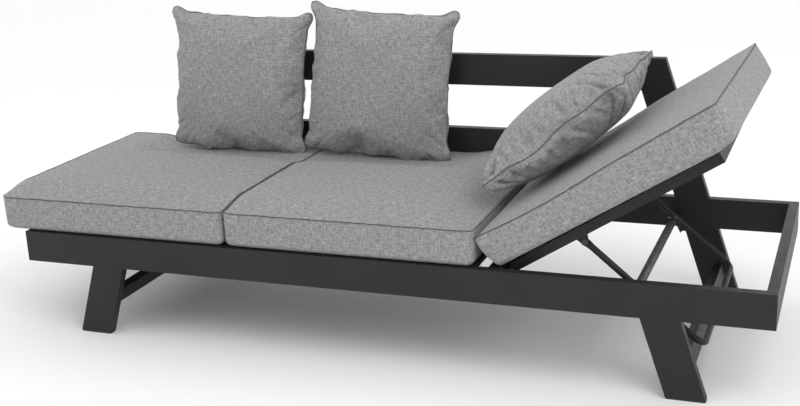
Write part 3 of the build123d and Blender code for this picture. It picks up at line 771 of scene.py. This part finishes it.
def pillow_shell(size_x, size_y, count):
    """Two square panels sewn edge to edge, bowed outward between the corners.

    Gives the vertices, the faces, the seam loop, and each vertex's place from -1 to 1 on its panel.
    """
    index = {}
    vertices = []
    grid = []
    faces = []
    for side in (1, -1):
        for j in range(count + 1):
            for i in range(count + 1):
                key = (i, j, 0 if i in (0, count) or j in (0, count) else side)
                if key in index:
                    continue
                u = 2 * i / count - 1
                v = 2 * j / count - 1
                x = u * (size_x / 2 + pillow_bow * (1 - v * v))
                y = v * (size_y / 2 + pillow_bow * (1 - u * u))
                dome = ((1 - u * u) * (1 - v * v)) ** 0.5
                index[key] = len(vertices)
                vertices.append((x, y, side * pillow_start_bulge * dome))
                grid.append((u, v))
        for j in range(count):
            for i in range(count):
                quad = []
                for a, b in ((i, j), (i + 1, j), (i + 1, j + 1), (i, j + 1)):
                    quad.append(index[a, b, 0 if a in (0, count) or b in (0, count) else side])
                faces.append(quad if side > 0 else quad[::-1])
    loop = [(i, 0) for i in range(count)] + [(count, j) for j in range(count)]
    loop += [(i, count) for i in range(count, 0, -1)] + [(0, j) for j in range(count, 0, -1)]
    return vertices, faces, [index[i, j, 0] for i, j in loop], np.array(grid)


def square_up(shaped, grid, half):
    """Points of a filled pillow, stretched line by line until its seam lies on a rectangle."""
    squared = shaped.copy()
    for axis in (0, 1):
        along = grid[:, 1 - axis]
        ends = []
        for end in (-1, 1):
            on_edge = np.flatnonzero(grid[:, axis] == end)
            on_edge = on_edge[np.argsort(along[on_edge])]
            ends.append(np.interp(along, along[on_edge], shaped[on_edge, axis]))
        share = (shaped[:, axis] - ends[0]) / (ends[1] - ends[0])
        squared[:, axis] = (2 * share - 1) * half[axis]
    return squared


def drawn_in(place, half):
    """How far a pillow's edge is drawn in at this place along it: quickly behind each ear, then slowly."""
    behind_ear = ear_draw * smooth_step(half - abs(place), ear_start, ear_end)
    return behind_ear + pillow_draw * (1 - (place / half) ** 2)


def fold_lines(length, draw):
    """Folds along one edge of a pillow: place on the seam, slant, share of the depth, and length."""
    lines = []
    for number in range(round(length / fold_spacing)):
        place = (number + 0.5 + fold_jitter * draw.uniform(-1, 1)) * fold_spacing - length / 2
        slant = draw.uniform(-fold_slant, fold_slant)
        depth = draw.uniform(fold_shallowest, 1.0)
        lines.append((place, slant, depth, draw.uniform(fold_shortest, fold_longest)))
    for end in (-1, 1):
        place = end * (length / 2 - ear_fold_place)
        lines.append((place, -end * ear_fold_slant, ear_fold_depth, ear_fold_length))
    return lines


def crease(cover, rest, half, depth, seed):
    """Points of a pillow with folds that run in from its seam, and slow waves along the seam itself."""
    draw = random.Random(seed)
    normals = np.empty(len(rest) * 3)
    cover.data.vertex_normals.foreach_get("vector", normals)
    height = np.zeros(len(rest))
    nearest = np.full(len(rest), half[0])
    for axis in (0, 1):
        for end in (-1, 1):
            from_seam = np.maximum(0, half[axis] - end * rest[:, axis])
            nearest = np.minimum(nearest, from_seam)
            for side in (-1, 1):
                on_side = rest[:, 2] * side > 0
                for place, slant, share, length in fold_lines(2 * half[1 - axis], draw):
                    offset = rest[:, 1 - axis] - place - slant * from_seam
                    fades = np.maximum(0, 1 - from_seam / length)
                    height -= on_side * share * fades * np.exp(-((offset / fold_width) ** 2))
    height *= 1 - np.exp(-nearest / fold_start)
    waves = np.array([waviness((x, y, 0), seam_wave_length, seed) for x, y, z in rest])
    shaped = points_of(cover) + normals.reshape(-1, 3) * depth * height[:, None]
    shaped[:, 2] += seam_wave * waves * np.exp(-nearest / seam_wave_reach)
    return shaped


def refined(cover, points):
    """Points of a cover that has its subdivision, for these points of its coarse mesh."""
    set_points(cover, points)
    smooth = cover.evaluated_get(bpy.context.evaluated_depsgraph_get())
    return np.array([v.co for v in smooth.data.vertices])


def shape_outline(shaped, half, widths, height, stands):
    """A filled pillow gets round ears and drawn-in edges, but stands on a straight one."""
    for number, (x, y, z) in enumerate(shaped):
        x, y = round_corner(x, y, half[0], half[1], pillow_corner)
        narrow = 1 - drawn_in(y, half[1]) / half[0]
        low_seam = stands and y < 0
        flat = 1 if low_seam else 1 - drawn_in(x, half[0]) / half[1]
        wide = widths[0] + (widths[1] - widths[0]) * (0.5 + y / (2 * half[1]))
        shaped[number] = x * wide * narrow, y * height * flat, z


def add_pillow(node, body, turned, seed, folds, widths, height, stands=True):
    """One loose pillow with piping: drawn-in edges, ears, and folds of the depth that folds gives.

    Its ears reach these shares of the CAD solid's size: widths, below and above, and height.
    """
    low, high = box_in(node, turned)
    centre = (low + high) / 2
    centre[1] -= standing_sink if stands else 0
    behind_seam = standing_behind_seam if stands else lying_behind_seam
    centre[2] = low[2] + (high[2] - low[2]) * behind_seam
    size = high - low
    place = turned @ Matrix.Translation(Vector(centre))
    growth = 2 * pillow_flat_growth
    vertices, faces, seam, grid = pillow_shell(size[0] + growth, size[1] + growth, pillow_cells)
    cover = add_mesh(node + "_cover", vertices, faces, place, pillow_weave)
    rest = points_of(cover)
    for number, point in enumerate(rest):
        if abs(point[2]) > 0:
            rest[number, 2] += pillow_unevenness * waviness(point, pillow_unevenness_length, seed)
    set_points(cover, rest)
    edge = cover.vertex_groups.new(name="edge")
    edge.add(seam, 1.0, "REPLACE")
    shaped = inflate(cover, pillow_pressure, drawn="edge", draw=pillow_seam_shrink)
    cover.vertex_groups.clear()
    half = size[:2] / 2
    shaped = square_up(shaped, grid, half)
    shape_outline(shaped, half, widths, height, stands)
    front = shaped[:, 2] > 0
    shaped[front, 2] *= (high[2] - centre[2]) / shaped[front, 2].max()
    under = shaped[~front, 2] / shaped[~front, 2].min()
    shaped[~front, 2] = (low[2] - centre[2]) * under ** (1 if stands else lying_underside)
    smooth_fabric(cover)
    fine_rest = refined(cover, rest)
    set_points(cover, shaped)
    cover.data = bpy.data.meshes.new_from_object(cover.evaluated_get(bpy.context.evaluated_depsgraph_get()))
    cover.modifiers.clear()
    shaped = crease(cover, fine_rest, half + pillow_flat_growth, folds, seed)
    set_points(cover, shaped)
    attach(cover, body)
    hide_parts(node)
    add_tube(node + "_piping", shaped[seam], piping_radius, place, pillow_seam, body)


def add_area_light(name, place, size, power):
    lamp = bpy.data.lights.new(name, "AREA")
    lamp.shape = "DISK"
    lamp.size = size
    lamp.energy = power
    thing = bpy.data.objects.new(name, lamp)
    thing.location = place
    thing.rotation_euler = (Vector(light_target) - Vector(place)).to_track_quat("-Z", "Y").to_euler()
    bpy.context.scene.collection.objects.link(thing)


def add_camera():
    flat = cos(camera_pitch)
    level = Vector((cos(camera_yaw), -sin(camera_yaw), 0))
    forward = Vector((sin(camera_yaw) * flat, cos(camera_yaw) * flat, -sin(camera_pitch)))
    upward = level.cross(forward)
    right = cos(camera_roll) * level + sin(camera_roll) * upward
    above = -sin(camera_roll) * level + cos(camera_roll) * upward
    lens = bpy.data.cameras.new("camera")
    lens.sensor_width = sensor_width_mm
    lens.lens = focal_pixels * sensor_width_mm / picture_width_pixels
    thing = bpy.data.objects.new("camera", lens)
    thing.matrix_world = frame_at(right, above, -forward, camera_place)
    bpy.context.scene.collection.objects.link(thing)
    bpy.context.scene.camera = thing


def add_room():
    world = bpy.data.worlds.new("room")
    world.use_nodes = True
    background = world.node_tree.nodes["Background"]
    background.inputs["Color"].default_value = (*room_colour, 1)
    background.inputs["Strength"].default_value = room_brightness
    bpy.context.scene.world = world
    bpy.context.scene.view_settings.view_transform = "Standard"
    corners = [(-floor_half, -floor_half, 0), (floor_half, -floor_half, 0)]
    corners += [(floor_half, floor_half, 0), (-floor_half, floor_half, 0)]
    paint = floor_paint("pale_floor", floor_tone).material
    add_mesh("floor", corners, [(0, 1, 2, 3)], material=paint)
    add_area_light("key_light", key_place, key_size, key_power)
    add_area_light("top_light", top_place, top_size, top_power)


def finish_metal():
    """Every CAD node that stays gets the detailed material of its record slot."""
    bar_low, bar_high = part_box("catch_bar")
    bar_axis = (bar_low + bar_high) / 2
    finishes = {
        "frame_metal": powder_coat("frame_coat", frame_tone),
        "slat_metal": powder_coat("slat_coat", slat_tone),
        "prop_metal": rubbed_coat("prop_coat", prop_tone, bar_axis),
        "steel_fasteners": bare_metal("blackened_steel", steel_tone, steel_roughness, steel_streak),
        "connector_metal": bare_metal("mill_aluminium", aluminium_tone, aluminium_roughness,
                                      aluminium_streak),
        "dark_plastic": moulded_plastic("black_plastic", plastic_tone),
    }
    for part in frame["record"]["subparts"]:
        finish = finishes.get(part["material_slot"])
        if finish is None:
            continue
        for slot in frame["nodes"][part["node"]].material_slots:
            slot.material = finish.material


def upright_frame(turn):
    """Axes of a pillow that leans on the back rails: width, height, and out of its front."""
    width = Vector((1, 0, 0))
    height = Vector((0, sin(upright_lean), cos(upright_lean)))
    outward = width.cross(height)
    turned_width = width * cos(turn) + height * sin(turn)
    turned_height = height * cos(turn) - width * sin(turn)
    return frame_at(turned_width, turned_height, outward)


def lying_frame():
    """Axes of the pillow on the head cushion, a little steeper than the cushion."""
    steep = cos(head_pillow_tilt) * slope + sin(head_pillow_tilt) * slope.cross(depth_axis)
    width = -depth_axis
    return frame_at(width, steep, width.cross(steep))


cushion_weave = woven_fabric("cushion_weave", cushion_tone).material
pillow_weave = woven_fabric("pillow_weave", pillow_tone).material
cushion_seam = seam_thread("cushion_seam_thread", thread_tone).material
# The piping's dark tone holds painted shade of the crevice between piping and cover, on top of the cloth's own
# tone
pillow_seam = seam_thread("pillow_piping_shaded_cloth", piping_shaded_tone).material
finish_metal()
add_camera()
add_room()

level_frame = Matrix.Identity(4)
head_frame = frame_at(slope, depth_axis, slope.cross(depth_axis))
upright_pillows = ["left_pillow", "middle_pillow"]
add_cushion("left_seat_cushion", "seat_cushions", level_frame, seed=11.3, rise=seat_seam_rise,
            pillows=upright_pillows, close_right=True, stretch=(left_cushion_stretch, 0.0))
add_cushion("middle_seat_cushion", "seat_cushions", level_frame, seed=23.7, rise=seat_seam_rise,
            pillows=upright_pillows, close_left=True, close_right=True, level_right=True)
add_cushion("head_cushion", "head_section", head_frame, seed=37.1, rise=head_seam_rise,
            pillows=["head_pillow"], turn=head_cushion_turn, bend=bend_head_cushion,
            stretch=(head_cushion_low_stretch, head_cushion_far_stretch))
add_pillow("left_pillow", "seat_cushions", upright_frame(left_pillow_turn), seed=41.9,
           folds=upright_fold, widths=(1.0, 1.06), height=1.0)
add_pillow("middle_pillow", "seat_cushions", upright_frame(middle_pillow_turn), seed=53.3,
           folds=upright_fold, widths=(1.05, 1.035), height=1.04)
add_pillow("head_pillow", "resting_pillow", lying_frame(), seed=67.7,
           folds=lying_fold, widths=(1.01, 1.01), height=1.01, stands=False)
